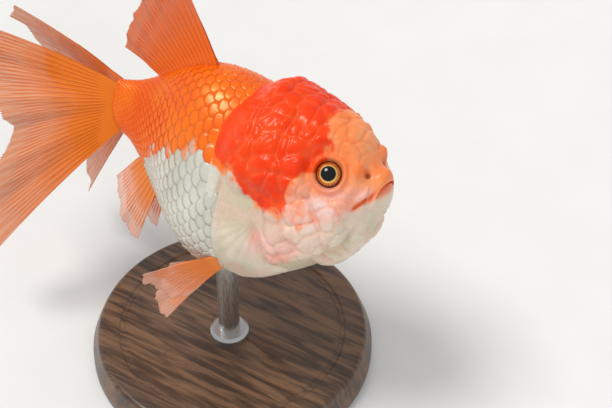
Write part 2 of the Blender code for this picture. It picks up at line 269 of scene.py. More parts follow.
def mouthFold(points):  # distance to the fold, how far above it a point lies, and where along it
    front = np.array(mouth["foldFront"])
    line = np.array(mouth["foldRear"]) - front
    flat = points[:, [0, 2]]
    share = np.clip((flat - front) @ line / (line @ line), 0, 1)
    away = flat - front - share[:, None] * line
    return np.linalg.norm(away, axis=1), away[:, 1], share


def shapeMouth(points, row):  # nearly closes the lips, whose crest is row 4, and draws their corners down
    near = smooth(row, 6.6, 4.6)
    closed = smooth(row, 4.7, 3.2)
    rise = points[:, 2] - mouth["level"]
    points[:, 2] -= rise * closed * (1 - mouth["opening"])
    sideways = points[:, 1] ** 2 * near
    points[:, 2] -= mouth["cornersDown"] * sideways
    points[:, 0] -= mouth["cornersBack"] * sideways
    return points


def gillRear(down):  # station of the gill cover's free edge
    return 45.5 - 7 * ((down - 112) / 55) ** 2


def strayed(points, share):  # the points moved by a slow noise, so that no row stays straight
    moved = points.copy()
    for number in np.nonzero(share)[0]:
        moved[number] += np.array(noise.noise_vector(Vector(points[number]) / 7.0)) * hood["wander"]
    return moved


def nodules(points, share):  # fine rounded lumps on the hood's lobes
    height = np.zeros(len(points))
    for number in np.nonzero(share > 0.02)[0]:
        spots = noise.voronoi(Vector(points[number]) / hood["noduleSize"])[0]
        height[number] = min((spots[1] - spots[0]) * 2.2, 1.0) ** 0.6
    return height * share


def lobeShape(points, onHead):  # height of the highest lobe, and how far it is above the next one
    best = np.zeros(len(points))
    second = np.zeros(len(points))
    stray = strayed(points, onHead)
    for middle, radius in lobes:
        here = 1 - (distanceTo(stray, middle) / radius) ** 2
        second = np.maximum(second, np.minimum(here, best))
        best = np.maximum(best, here)
    return best, best - second


def hoodShape(points, onHead, station, down):  # lift of the hood, and where its creases are
    cap, cheek, chin = hoodParts(station, down)
    cover = np.maximum(np.maximum(cap, cheek), chin)
    pads = np.maximum(np.maximum(hood["cap"] * cap, hood["cheek"] * cheek), hood["chin"] * chin)
    lobe, lead = lobeShape(points, onHead)
    lumps = hood["lobeHeight"] * (np.sqrt(lobe) - 0.4) * smooth(cover, 0.1, 0.6)
    fleshy = np.where(onHead, smooth(cover, 0.15, 0.7), 0)
    lumps += hood["noduleHeight"] * (nodules(points, fleshy) - 0.6 * fleshy)
    crease = fleshy * smooth(lead, hood["creaseWidth"], 0)
    crease *= 1 - hood["chinSoftness"] * smooth(down, 70, 112)
    return pads + lumps - hood["creaseDepth"] * crease, crease


def gillShape(station, down):  # lift of the gill cover, and the creases behind and before it
    upper, lower = gill["sides"]
    side = window(down, upper, lower, 18)
    rear = gillRear(down)
    lift = gill["bulge"] * side * smooth(station, 24, 36) * smooth(station, rear + 1.1, rear)
    rearCrease = side * bell(station - rear - 1.6, 0.8)
    cheekCrease = window(down, 96, 142, 10) * bell(station - 30.5 + (down - 110) * 0.09, 0.9)
    return lift, rearCrease, cheekCrease


def gillRibs(points, station, down):  # fine ribs that fan out over the gill cover
    turn = np.degrees(np.arctan2(points[:, 2] + 4, points[:, 0] - 20))
    return np.sin(turn * 0.55) * window(station, 33, 43, 3) * window(down, 84, 140, 10)


def lipShape(points, row):  # lift of the rolled lip and its fold, and where the lips are orange
    fromFold, above, share = mouthFold(points)
    fold = bell(fromFold, mouth["foldWidth"]) * smooth(share, 1.0, 0.75) * smooth(row, 4.3, 5.0)
    roll = bell(fromFold - 1.6, 1.0) * smooth(above, 0, 0.8) * smooth(share, 0.9, 0.4)
    lift = mouth["lipHeight"] * roll * smooth(row, 5.2, 6.0) - mouth["foldDepth"] * fold
    foldLine = bell(fromFold, 0.8) * smooth(share, 1.0, 0.8) * smooth(row, 4.0, 4.6)
    return lift, np.maximum(foldLine, smooth(row, 4.05, 3.6))


def shapeOf(points, row, station, angle):  # lift of the flesh, and the relief that colours it, with painted shade in the mouth and nostril pits
    down = np.abs(np.degrees(angle))
    onHead = (station > 3.0) & (station < 52) & (row > 5)
    hoodLift, crease = hoodShape(points, onHead, station, down)
    gillLift, rearCrease, cheekCrease = gillShape(station, down)
    lipLift, lip = lipShape(points, row)
    fromEye = nearest(points, [centre for centre, _ in eyes.values()])
    eyeHollow = smooth(fromEye, *eye["hollow"])
    knob = smooth(nearest(points, nostrils), 1.2 * nostril["radius"], 0.2 * nostril["radius"])
    pit = bell(nearest(points, nostrilPits), nostril["pitRadius"])
    lift = np.maximum(hoodLift * eyeHollow, gillLift) + lipLift
    lift += eye["rimHeight"] * bell(fromEye - eye["rimReach"], eye["rimWidth"])
    lift += nostril["height"] * knob - nostril["pitDepth"] * pit
    lift -= gill["creaseDepth"] * rearCrease + gill["cheekCreaseDepth"] * cheekCrease
    lift += gill["ribHeight"] * gillRibs(points, station, down)
    crease = np.maximum(crease * eyeHollow, np.maximum(0.7 * rearCrease, 0.5 * cheekCrease))
    lip = np.maximum(lip, 0.5 * bell(fromEye - eye["rimReach"] - 0.5, eye["rimWidth"]))
    lip = np.maximum(lip, 0.6 * knob)
    # painted shade: the mouth's hollow and the nostril pits are coloured dark red, partly the mouth
    # lining's own colour
    hollowShade = np.maximum(smooth(row, 3.2, 2.2), 0.8 * pit)
    nearHead = (station < 52) & (row < 13)
    relief = channels(crease, lip, hollowShade) * nearHead[:, None]
    return np.where(onHead | (row <= 5), lift, 0), relief


scales = {
    "around": 38,
    "spacing": 0.60,  # between rows, as a share of the spacing around the body
    "shortest": 1.1,  # the least distance between two rows
    "halfWidth": 0.62,
    "rootReach": 1.15,  # how far a scale reaches before and behind its row
    "tipReach": 0.95,
    "depth": 0.42,  # the skin lies this far inside the scales' tips
    "tipLift": 0.16,
    "dome": 0.10,
    "thickness": 0.09,
    "blankThickness": 0.5,  # of the flat scale that is repeated and then bent into place
    "first": 36.0,  # stations of the first and last rows
    "last": 100.0,
    "stray": 0.06,  # how unevenly the scales lie, along the body and in height
    "heightStray": 0.05,
    "tintReach": 0.6,  # a scale takes the markings from this far behind its root
    "bakeLength": 102.0,  # the unwrap's length and the size of one scale's patch on it
    "bakePatch": 0.003,
}


def between(pair, share):
    return pair[0] + (pair[1] - pair[0]) * share


def scaledShare(station, down):  # 1 where scales cover the skin
    front = np.where(down < 84, 43.5 + 5 * smooth(down, 8, 50), gillRear(down))
    front = np.where(down > 150, 38.0, front)
    return smooth(station, front - 2, front + 0.5) * smooth(station, 101.2, 99)


def bodyPoint(row, angle, grow):  # a place on the bare body, raised by grow
    return barePoint(row, angle) + bareNormal(row, angle) * np.asarray(grow).reshape(-1, 1)


colours = {
    "backOrange": (0.88, 0.115, 0.001),
    "flankGold": (0.92, 0.18, 0.004),
    "bellyWhite": (0.70, 0.69, 0.62),
    "bellyShade": (0.58, 0.57, 0.48),
    "chinCream": (0.72, 0.63, 0.51),
    "chinOlive": (0.55, 0.50, 0.36),
    "blush": (0.75, 0.45, 0.38),
    "hoodRed": (0.86, 0.052, 0.0005),
    "hoodDeep": (0.80, 0.030, 0.0005),
    "hoodLight": (0.88, 0.20, 0.06),
    "faceOrange": (0.86, 0.22, 0.06),
    "faceLight": (0.86, 0.32, 0.13),
    "cheekPink": (0.84, 0.36, 0.28),
    "cheekPale": (0.79, 0.57, 0.51),
    "lipOrange": (0.84, 0.12, 0.008),
    # the mouth lining's dark red, also painted shade in the mouth's hollow and the nostril pits
    "mouthRedAndPaintedShade": (0.30, 0.04, 0.015),
    "speckle": (0.45, 0.08, 0.02),
}
scaleTints = {  # each multiplies the markings' colour, on dark and on pale scales
    "rim": ((1.0, 0.62, 0.36), (0.66, 0.68, 0.66)),
    # painted shade: the root, which lies under the scale before it, is darkened
    "root": ((0.86, 0.55, 0.40), (0.74, 0.76, 0.76)),
}


markings = {  # stations, and angles below the back in degrees
    "hoodFront": 15.5,
    "hoodRear": 48,
    "hoodEdge": (83, 62),  # the red's lower edge at its front and rear
    "paleEdgeHead": 86,  # the pale underside's upper edge, from head to tail
    "paleEdgeGill": 66,
    "paleEdgeFlank": 61,
    "paleEdgeStalk": 150,
    "flankSlope": 0.9,
    "edgeWidth": 9,
    "cheekPatch": ((11, 75), (14, 20)),  # middle and reach
    "gillPatch": ((27, 108), (8, 15)),
}


def inPatch(station, down, name):  # 1 in the middle of a round patch, falling softly to 0
    middle, reach = markings[name]
    away = np.hypot((station - middle[0]) / reach[0], (down - middle[1]) / reach[1])
    return smooth(away, 1.35, 0.45)


def markingsOf(station, angle):  # shares of hood red, pale underside, face and pink cheek
    down = np.abs(np.degrees(angle))
    width = markings["edgeWidth"]
    wobble = 2.4 * np.sin(0.42 * station + 0.7) + 0.9 * np.sin(0.9 * station + 5.3 * angle)
    hoodEdge = between(markings["hoodEdge"], smooth(station, 24, 46))
    hoodShare = smooth(down, hoodEdge + wobble + width, hoodEdge + wobble - width)
    front = markings["hoodFront"] + 4 * smooth(down, 30, 8) + 8 * smooth(down, 44, 66) + 0.5 * wobble
    rear = markings["hoodRear"] - 4.5 * smooth(down, 50, 8)
    hoodShare *= smooth(station, front - 4, front + 3.5) * smooth(station, rear + 1.5, rear - 1.5)
    paleEdge = between((markings["paleEdgeHead"], markings["paleEdgeGill"]), smooth(station, 22, 38))
    paleEdge += (markings["paleEdgeFlank"] - markings["paleEdgeGill"]) * smooth(station, 40, 50)
    paleEdge += markings["flankSlope"] * np.maximum(station - 56, 0)
    paleEdge += (markings["paleEdgeStalk"] - markings["paleEdgeFlank"]) * smooth(station, 76, 92)
    pale = smooth(down, paleEdge + wobble - width, paleEdge + wobble + 1.5 * width)
    face = np.maximum(smooth(station, 27, 16), smooth(station, 47, 42) * smooth(down, 60, 76))
    pink = np.maximum(inPatch(station, down, "cheekPatch"), inPatch(station, down, "gillPatch"))
    return channels(hoodShare, pale, face, pink)


def setMarkings(mesh, values, name="markings"):  # values by vertex, for the materials to read
    layer = mesh.attributes.new(name, "FLOAT_COLOR", "POINT")
    layer.data.foreach_set("color", np.ascontiguousarray(values, dtype=np.float32).ravel())


def coordinates(mesh):
    found = np.zeros(len(mesh.vertices) * 3, dtype=np.float64)
    mesh.vertices.foreach_get("co", found)
    return found.reshape(-1, 3)


def moveVertices(mesh, places):
    mesh.vertices.foreach_set("co", np.ascontiguousarray(places, dtype=np.float32).ravel())
    mesh.update()


def meshObject(name, bm):
    mesh = bpy.data.meshes.new(name)
    bm.to_mesh(mesh)
    bm.free()
    found = bpy.data.objects.new(name, mesh)
    bpy.context.collection.objects.link(found)
    return found


def applyModifiers(found):
    graph = bpy.context.evaluated_depsgraph_get()
    baked = bpy.data.meshes.new_from_object(found.evaluated_get(graph))
    found.modifiers.clear()
    found.data = baked
    return found


def finishPiece(found, material, replaced=()):
    found.data.transform(pose)
    found.data.materials.clear()
    found.data.materials.append(material)
    found.data.shade_smooth()
    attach(found, "root")
    if replaced:
        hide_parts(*replaced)
    return found


def addNode(tree, kind, inputs=(), **settings):
    node = tree.nodes.new(kind)
    for name, value in settings.items():
        setattr(node, name, value)
    for socket, value in inputs:
        if isinstance(value, bpy.types.NodeSocket):
            tree.links.new(value, node.inputs[socket])
        else:
            node.inputs[socket].default_value = value
    return node


def newMaterial(name, **sockets):
    material = bpy.data.materials.new(name)
    material.use_nodes = True
    shader = material.node_tree.nodes["Principled BSDF"]
    for socket, value in sockets.items():
        shader.inputs[socket.replace("_", " ")].default_value = value
    return material, material.node_tree, shader


def noiseAt(tree, size, detail=3.0, roughness=0.55):  # size of the pattern in metres
    place = addNode(tree, "ShaderNodeTexCoord").outputs["Object"]
    texture = addNode(
        tree, "ShaderNodeTexNoise",
        (("Vector", place), ("Scale", 1 / size), ("Detail", detail), ("Roughness", roughness)),
    )
    return texture.outputs["Fac"]


def remap(tree, value, low, high, toLow=0.0, toHigh=1.0):
    node = addNode(
        tree, "ShaderNodeMapRange",
        (("Value", value), ("From Min", low), ("From Max", high), ("To Min", toLow), ("To Max", toHigh)),
        interpolation_type="SMOOTHSTEP",
    )
    return node.outputs["Result"]


def maths(tree, operation, first, second):
    return addNode(tree, "ShaderNodeMath", ((0, first), (1, second)), operation=operation).outputs[0]


def mixColour(tree, share, first, second, blend="MIX"):
    node = tree.nodes.new("ShaderNodeMix")
    node.data_type = "RGBA"
    node.blend_type = blend
    for socket, value in ((0, share), (6, first), (7, second)):
        if isinstance(value, bpy.types.NodeSocket):
            tree.links.new(value, node.inputs[socket])
        elif socket == 0:
            node.inputs[socket].default_value = value
        else:
            node.inputs[socket].default_value = (*value, 1)
    return node.outputs[2]


def attributeParts(tree, name):
    layer = addNode(tree, "ShaderNodeAttribute", attribute_name=name)
    parts = addNode(tree, "ShaderNodeSeparateColor", (("Color", layer.outputs["Color"]),))
    return parts.outputs["Red"], parts.outputs["Green"], parts.outputs["Blue"], layer.outputs["Alpha"]


def roughen(tree, share, broken, amount=1.3):  # breaks the edge of a marking with a noise
    shifted = maths(tree, "ADD", share, maths(tree, "MULTIPLY", broken, amount))
    return remap(tree, shifted, 0.33 + amount / 2, 0.67 + amount / 2)


def markingsColour(tree):  # the fish's colours, the same on its skin and on its scales
    hoodShare, pale, face, pink = attributeParts(tree, "markings")
    broken = noiseAt(tree, 0.004, 3.0)
    patch = noiseAt(tree, 0.014, 2.0)
    patchy = remap(tree, patch, 0.35, 0.65)
    coat = mixColour(tree, patchy, colours["backOrange"], colours["flankGold"])
    front = mixColour(tree, patchy, colours["faceOrange"], colours["faceLight"])
    under = mixColour(tree, patchy, colours["bellyWhite"], colours["bellyShade"])
    chin = mixColour(tree, patchy, colours["chinCream"], colours["chinOlive"])
    blushed = remap(tree, noiseAt(tree, 0.009, 2.0), 0.42, 0.66, 0, 0.45)
    chin = mixColour(tree, blushed, chin, colours["blush"])
    under = mixColour(tree, face, under, chin)
    red = mixColour(tree, patchy, colours["hoodRed"], colours["hoodDeep"])
    coat = mixColour(tree, roughen(tree, face, broken), coat, front)
    coat = mixColour(tree, roughen(tree, pale, broken), coat, under)
    flush = mixColour(tree, patchy, colours["cheekPale"], colours["cheekPink"])
    pinkShare = maths(tree, "MULTIPLY", pink, remap(tree, broken, 0.25, 0.6, 0.35, 1.0))
    coat = mixColour(tree, pinkShare, coat, flush)
    return mixColour(tree, roughen(tree, hoodShare, broken), coat, red)


def skinMaterial():
    material, tree, shader = newMaterial(
        "moistSkin", Subsurface_Weight=0.10, Subsurface_Scale=0.001, Coat_Weight=0.18, Coat_Roughness=0.12,
        Specular_Tint=(1.0, 0.6, 0.4, 1), Specular_IOR_Level=0.35,
    )
    colour = markingsColour(tree)
    crease, lip, hollowShade = attributeParts(tree, "relief")[:3]
    colour = mixColour(tree, maths(tree, "MULTIPLY", crease, 0.24), colour, colours["hoodLight"])
    colour = mixColour(tree, maths(tree, "MULTIPLY", lip, 0.85), colour, colours["lipOrange"])
    # painted shade: dark red in the mouth's hollow and the nostril pits
    colour = mixColour(tree, hollowShade, colour, colours["mouthRedAndPaintedShade"])
    speckle = noiseAt(tree, 0.0009, 2.0)
    colour = mixColour(tree, remap(tree, speckle, 0.4, 0.8, 0.0, 0.14), colour, colours["speckle"])
    tree.links.new(colour, shader.inputs["Base Color"])
    tree.links.new(remap(tree, noiseAt(tree, 0.002), 0.3, 0.7, 0.30, 0.48), shader.inputs["Roughness"])
    bump = addNode(
        tree, "ShaderNodeBump",
        (("Height", noiseAt(tree, 0.0005)), ("Strength", 0.25), ("Distance", 0.0002)),
    )
    tree.links.new(bump.outputs["Normal"], shader.inputs["Normal"])
    return material


def makeSkin():
    bm = bmesh.new()
    bmesh.ops.create_uvsphere(
        bm, u_segments=body["segments"], v_segments=body["rings"], radius=1
    )
    skin = meshObject("fish_skin", bm)
    ball = coordinates(skin.data)
    share = np.arccos(np.clip(ball[:, 2], -1, 1)) / pi
    angle = np.arctan2(ball[:, 0], ball[:, 1])
    row = np.interp(share, body["ringShares"], body["ringRows"])
    points = barePoint(row, angle)
    station = 50 - points[:, 0]
    points = shapeMouth(points, row)
    lift, relief = shapeOf(points, row, station, angle)
    down = np.abs(np.degrees(angle))
    lift -= np.where(row > 6, scales["depth"] * scaledShare(station, down), 0)
    moveVertices(skin.data, points + bareNormal(row, angle) * lift[:, None])
    setMarkings(skin.data, markingsOf(station, angle))
    setMarkings(skin.data, relief, "relief")
    print("skin:", len(skin.data.polygons), "faces")
    return finishPiece(
        skin, skinMaterial(),
        ("head", "hood_crown", "cheek_left", "cheek_right", "snout", "lower_jaw", "lip_upper",
         "lip_lower", "gill_cover_left", "gill_cover_right", "trunk", "tail_stalk"),
    )


def scaleRows():  # stations of the rows, closer together as the body thins
    stations = [scales["first"]]
    while stations[-1] < scales["last"]:
        top, bottom, halfWidth = profileAt(rowAt(np.array([stations[-1]])))[0, 1:]
        girth = pi * ((top - bottom) / 2 + halfWidth)
        pitch = max(scales["shortest"], scales["spacing"] * girth / scales["around"])
        stations.append(stations[-1] + pitch)
    return stations


def scalePlaces():  # station and angle of each scale, and the distance to the next row
    stations = scaleRows()
    places = []
    for row, (station, following) in enumerate(zip(stations, stations[1:])):
        for number in range(scales["around"]):
            angle = tau * (number + 0.5 * (row % 2)) / scales["around"] - pi
            if scaledShare(np.array([station + 1.0]), np.array([abs(np.degrees(angle))]))[0] > 0.3:
                places.append((station, angle, following - station))
    return np.array(places)


def scaleMaterial():
    material, tree, shader = newMaterial(
        "pearlyScales", Metallic=0.18, Coat_Weight=0.2, Coat_Roughness=0.16,
        Specular_Tint=(1.0, 0.7, 0.5, 1),
    )
    colour = markingsColour(tree)
    pale = attributeParts(tree, "markings")[1]
    along, across, chance = attributeParts(tree, "scale")[:3]
    edge = remap(tree, along, 0.62, 1.0)
    rim = maths(tree, "MAXIMUM", edge, remap(tree, across, 0.7, 1.0))
    rimTint = mixColour(tree, pale, *scaleTints["rim"])
    rootShadeTint = mixColour(tree, pale, *scaleTints["root"])
    colour = mixColour(tree, maths(tree, "MULTIPLY", rim, 0.26), colour, rimTint, "MULTIPLY")
    # painted shade darkens each scale towards its root, under the scale before it
    colour = mixColour(tree, remap(tree, along, 0.55, 0.2, 0, 0.4), colour, rootShadeTint, "MULTIPLY")
    colour = mixColour(tree, maths(tree, "MULTIPLY", chance, 0.16), colour, rimTint, "MULTIPLY")
    tree.links.new(colour, shader.inputs["Base Color"])
    tree.links.new(remap(tree, noiseAt(tree, 0.0015), 0.3, 0.7, 0.24, 0.42), shader.inputs["Roughness"])
    return material


def blankScales(count):  # flat square scales, all in one place
    bm = bmesh.new()
    bmesh.ops.create_grid(bm, x_segments=5, y_segments=4, size=1, calc_uvs=False)
    bm.loops.layers.uv.new("OFBake")
    coat = meshObject("scale_coat", bm)
    solid = coat.modifiers.new("thickness", "SOLIDIFY")
    solid.thickness = scales["blankThickness"]
    solid.offset = -1
    repeat = coat.modifiers.new("repeat", "ARRAY")
    repeat.count = count
    repeat.use_relative_offset = False
    return applyModifiers(coat)


def scaleGrid(mesh, count):  # where each vertex lies on its scale: along, across and how far under
    flatX, flatY, flatZ = np.moveaxis(coordinates(mesh).reshape(count, -1, 3), 2, 0)
    along = (1 + flatX * np.sqrt(1 - flatY**2 / 2)) / 2  # a square made round
    across = flatY * np.sqrt(1 - flatX**2 / 2)
    return along, across, -flatZ / scales["blankThickness"]


def markScales(mesh, places, along, across, chance):  # one set of markings for each scale
    size = along.shape[1]
    tint = markingsOf(places[:, 0] + scales["tintReach"] * places[:, 2], places[:, 1])
    setMarkings(mesh, np.repeat(tint, size, axis=0))
    layer = channels(along.ravel(), np.abs(across.ravel()), np.repeat(chance, size))
    setMarkings(mesh, layer, "scale")


def makeScales():
    places = scalePlaces()
    coat = blankScales(len(places))
    along, across, under = scaleGrid(coat.data, len(places))
    station, angle, pitch = (places[:, column][:, None] for column in range(3))
    rng = np.random.default_rng(7)
    chance = rng.random((len(places), 1))
    reach = scales["rootReach"] + scales["tipReach"]
    stations = station + pitch * (reach * along - scales["rootReach"])
    stations += scales["stray"] * pitch * (chance - 0.5)
    angles = angle + across * scales["halfWidth"] * tau / scales["around"]
    lift = -scales["depth"] * (1 - along) * 1.5 + scales["tipLift"] * (along - 0.7)
    lift += scales["dome"] * (1 - across**2) * along - scales["thickness"] * under
    lift += scales["heightStray"] * (rng.random((len(places), 1)) - 0.5)
    moveVertices(coat.data, bodyPoint(rowAt(stations.ravel()), angles.ravel(), lift.ravel()))
    markScales(coat.data, places, along, across, chance)
    bakePatches(coat.data, places, along, across)
    print("scales:", len(places), "with", len(coat.data.polygons), "faces")
    return finishPiece(coat, scaleMaterial())


def bakePatches(mesh, places, along, across):  # each scale's patch at its root on the skin's unwrap
    corners = np.zeros(len(mesh.loops), dtype=np.int32)
    mesh.loops.foreach_get("vertex_index", corners)
    roots = np.stack((places[:, 1] / tau + 0.5, places[:, 0] / scales["bakeLength"]), axis=1)
    spot = np.stack((across / 2, along - 0.5), axis=2) * scales["bakePatch"]
    flat = (roots[:, None, :] + spot).reshape(-1, 2)
    layer = mesh.uv_layers.get("OFBake") or mesh.uv_layers.new(name="OFBake")
    layer.data.foreach_set("uv", flat[corners].astype(np.float32).ravel())


fins = {
    "thickness": 1.6,  # at the fleshy root, in hundredths of the fish's length
    "rootLength": 0.24,  # how far out the root's thickness reaches
    "rayShare": 0.47,  # thickness of rays and web as shares of the root's
    "webShare": 0.10,
    "rayWidth": 0.11,
    "fray": 0.017,
    "rounding": 0.06,  # how much the corners of each fin are drawn in
    "ripple": 0.5,
}
dorsal = {  # rise and spread are the directions of the first and last ray, in degrees
    "stations": (59, 82),
    "rise": (64, 30),
    "spread": (0, 0),
    "sunk": 1.5,  # how deep the root lies under the skin
    "rays": 17,
    "columns": 170,
    "steps": 46,
    "wave": 1.6,
    "waves": 1.2,
    "sag": -0.04,
    "finish": "dorsal",
}
tail = {
    "station": 98,
    "levels": (12.0, -2.6),
    "sides": (1.0, 1.9),
    "rise": (20, -42),
    "spread": (10, 34),
    "tip": 66,
    "notch": 37,
    "rays": 26,
    "columns": 286,
    "steps": 70,
    "wave": 2.4,
    "waves": 3.0,
    "sag": 0.1,
    "finish": "tail",
}
pairedFins = {  # root as the station and angle of its two ends
    "pectoral_fin": {
        "root": ((46.3, 128), (47.2, 143)), "rise": (-8, -44), "spread": (34, 24), "rays": 12,
        "longest": 24, "loss": 9, "power": 1.5, "wave": 1.0,
    },
    "pelvic_fin": {
        "root": ((52, 160), (56, 166)), "rise": (-44, -12), "spread": (24, 10), "rays": 10,
        "longest": 27, "loss": 10, "power": 1.3, "wave": 1.0,
    },
    "anal_fin": {
        "root": ((82, 168), (89, 168)), "rise": (-66, -40), "spread": (18, 12), "rays": 9,
        "longest": 23, "loss": 9, "power": 1.2, "wave": 0.8,
    },
}
pairedShared = {"sunk": 1.0, "steps": 34, "waves": 1.5, "sag": 0.1, "finish": "paired"}


def rayShare(across, along, rays):  # 1 on the rays, which fork twice on their way out
    place = np.abs(across * rays - np.round(across * rays))
    firstFork = 0.25 * smooth(along, 0.32, 0.70)
    secondFork = 0.125 * smooth(along, 0.62, 0.95)
    away = np.abs(np.abs(place - firstFork) - secondFork)
    return bell(away, fins["rayWidth"] * (1 - 0.62 * along))


def rayDirection(across, fin, side):  # the way each ray points
    rise = np.radians(between(fin["rise"], across))
    spread = np.radians(between(fin["spread"], across))
    flat = np.cos(rise)
    return np.stack((-flat * np.cos(spread), side * flat * np.sin(spread), np.sin(rise)), axis=1)


def finPoints(across, along, rays, root, length, side, fin):  # fanned out from the root and waved
    direction = rayDirection(across, fin, side)
    fanned = rayDirection(across + 0.01, fin, side)
    sideways = np.cross(direction, fanned - direction + (root[1] - root[0]) * 0.001)
    sideways /= np.linalg.norm(sideways, axis=1)[:, None]
    reach = length(across) * (1 + fins["fray"] * rays * smooth(along, 0.8, 1))
    reach *= 1 + 0.012 * np.sin(across * 41 + 2 * np.sin(across * 17)) * smooth(along, 0.6, 1)
    reach *= 1 - fins["rounding"] * (bell(across, 0.09) + bell(1 - across, 0.09))
    points = root[0] + (root[1] - root[0]) * across[:, None] + direction * (reach * along)[:, None]
    points[:, 2] -= fin["sag"] * reach * along**2
    wave = fin["wave"] * along**2 * np.sin(fin["waves"] * tau * across + 0.8)
    wave += fins["ripple"] * smooth(along, 0.3, 1) * np.sin(across * fin["rays"] * 2.1 + 3 * along)
    return points + sideways * wave[:, None]


def thickenFin(found, along, rays):  # thick at the root, thinner on the rays, thinnest between them
    group = found.vertex_groups.new(name="thick")
    rayWeights = between((fins["webShare"], fins["rayShare"]), rays * (1 - 0.6 * along))
    weights = np.maximum(rayWeights, smooth(along, fins["rootLength"], 0.0))
    for number, weight in enumerate(weights):
        group.add([number], float(weight), "REPLACE")
    solid = found.modifiers.new("thickness", "SOLIDIFY")
    solid.thickness = fins["thickness"]
    solid.offset = 0
    solid.vertex_group = "thick"
    applyModifiers(found)
    found.vertex_groups.clear()


def makeFin(name, root, length, side, fin, replaced):
    bm = bmesh.new()
    bmesh.ops.create_grid(bm, x_segments=fin["columns"], y_segments=fin["steps"], size=1)
    found = meshObject(name, bm)
    grid = coordinates(found.data)
    across = (grid[:, 0] + 1) / 2
    along = (grid[:, 1] + 1) / 2
    rays = rayShare(across, along, fin["rays"])
    moveVertices(found.data, finPoints(across, along, rays, root, length, side, fin))
    setMarkings(found.data, channels(rays, along), "rays")
    thickenFin(found, along, rays)
    return finishPiece(found, finMaterials[fin["finish"]], replaced)


def finMaterial(name, ray, web, tip, clearness):
    material, tree, shader = newMaterial(
        name, Roughness=0.42, Subsurface_Weight=0.1, Subsurface_Scale=0.001, Coat_Weight=0.1,
        Coat_Roughness=0.2, Specular_Tint=(1.0, 0.6, 0.35, 1), Specular_IOR_Level=0.35,
    )
    rays, along = attributeParts(tree, "rays")[:2]
    cloud = maths(tree, "MULTIPLY", noiseAt(tree, 0.007, 3.0), 0.4)
    outwards = remap(tree, maths(tree, "ADD", along, cloud), 0.55, 1.25)
    webColour = mixColour(tree, outwards, web, tip)
    colour = mixColour(tree, remap(tree, rays, 0.1, 0.8), webColour, ray)
    tree.links.new(colour, shader.inputs["Base Color"])
    clear = remap(tree, along, 0.05, 0.9, 0.97, clearness)
    solidity = maths(tree, "MAXIMUM", clear, remap(tree, rays, 0.15, 0.9, 0.0, 0.92))
    tree.links.new(solidity, shader.inputs["Alpha"])
    bump = addNode(
        tree, "ShaderNodeBump",
        (("Height", noiseAt(tree, 0.0006)), ("Strength", 0.15), ("Distance", 0.0001)),
    )
    tree.links.new(bump.outputs["Normal"], shader.inputs["Normal"])
    return material


finFinishes = {  # name, colours of ray, web and tip, and how solid the tip is
    "dorsal": ("dorsalWeb", (0.60, 0.080, 0.003), (0.80, 0.13, 0.005), (0.64, 0.14, 0.02), 0.68),
    "tail": ("tailWeb", (0.60, 0.115, 0.006), (0.78, 0.18, 0.012), (0.68, 0.26, 0.08), 0.56),
    "paired": ("finWeb", (0.80, 0.210, 0.050), (0.88, 0.26, 0.06), (0.84, 0.58, 0.48), 0.45),
}
finMaterials = {kind: finMaterial(*finish) for kind, finish in finFinishes.items()}


def lobeLength(across):  # one half of the tail has two lobes with a notch between them
    outwards = np.abs(2 * across - 1)
    forked = tail["notch"] + (tail["tip"] - tail["notch"]) * outwards**1.4
    return forked * (1 - 0.14 * smooth(outwards, 0.78, 1))


def dorsalLength(across):  # longest near its front
    return 16 + 25 * (1 - across) ** 1.1 * smooth(across, -0.3, 0.14)


def makeTailHalf(side, hand):
    middle = centreLine(np.array([float(tail["station"])]))[0]
    root = [
        middle + np.array((0, side * sideways, level))
        for sideways, level in zip(tail["sides"], tail["levels"])
    ]
    makeFin(
        f"fin_tail_{hand}", root, lobeLength, side, tail,
        (f"tail_upper_{hand}", f"tail_lower_{hand}"),
    )


def makePairedFin(kind, fin, side, hand):
    stations, angles = np.array(fin["root"], dtype=float).T
    root = bodyPoint(rowAt(stations), side * np.radians(angles), -pairedShared["sunk"])
    makeFin(
        f"{kind}_web_{hand}", root,
        lambda across: fin["longest"] - fin["loss"] * across ** fin["power"], side,
        {**fin, **pairedShared, "columns": fin["rays"] * 10}, (f"{kind}_{hand}",),
    )


def makeFins():
    stations = np.array(dorsal["stations"], dtype=float)
    root = bodyPoint(rowAt(stations), np.zeros(2), -dorsal["sunk"])
    makeFin("fin_dorsal", root, dorsalLength, 1, dorsal, ("dorsal_fin",))
    for side, hand in ((-1, "right"), (1, "left")):
        makeTailHalf(side, hand)
        for kind, fin in pairedFins.items():
            makePairedFin(kind, fin, side, hand)
    print("fins: done")


iris = {  # pupil and edge as angles from the eye's axis
    "pupil": 0.54,
    "edge": 1.02,
    "bulge": 0.16,
    "black": (0.004, 0.004, 0.005),
    "ring": (0.95, 0.58, 0.16),  # the bright line round the pupil
    "gold": (0.80, 0.34, 0.06),
    "brown": (0.42, 0.10, 0.012),
    "rim": (0.10, 0.02, 0.01),
}


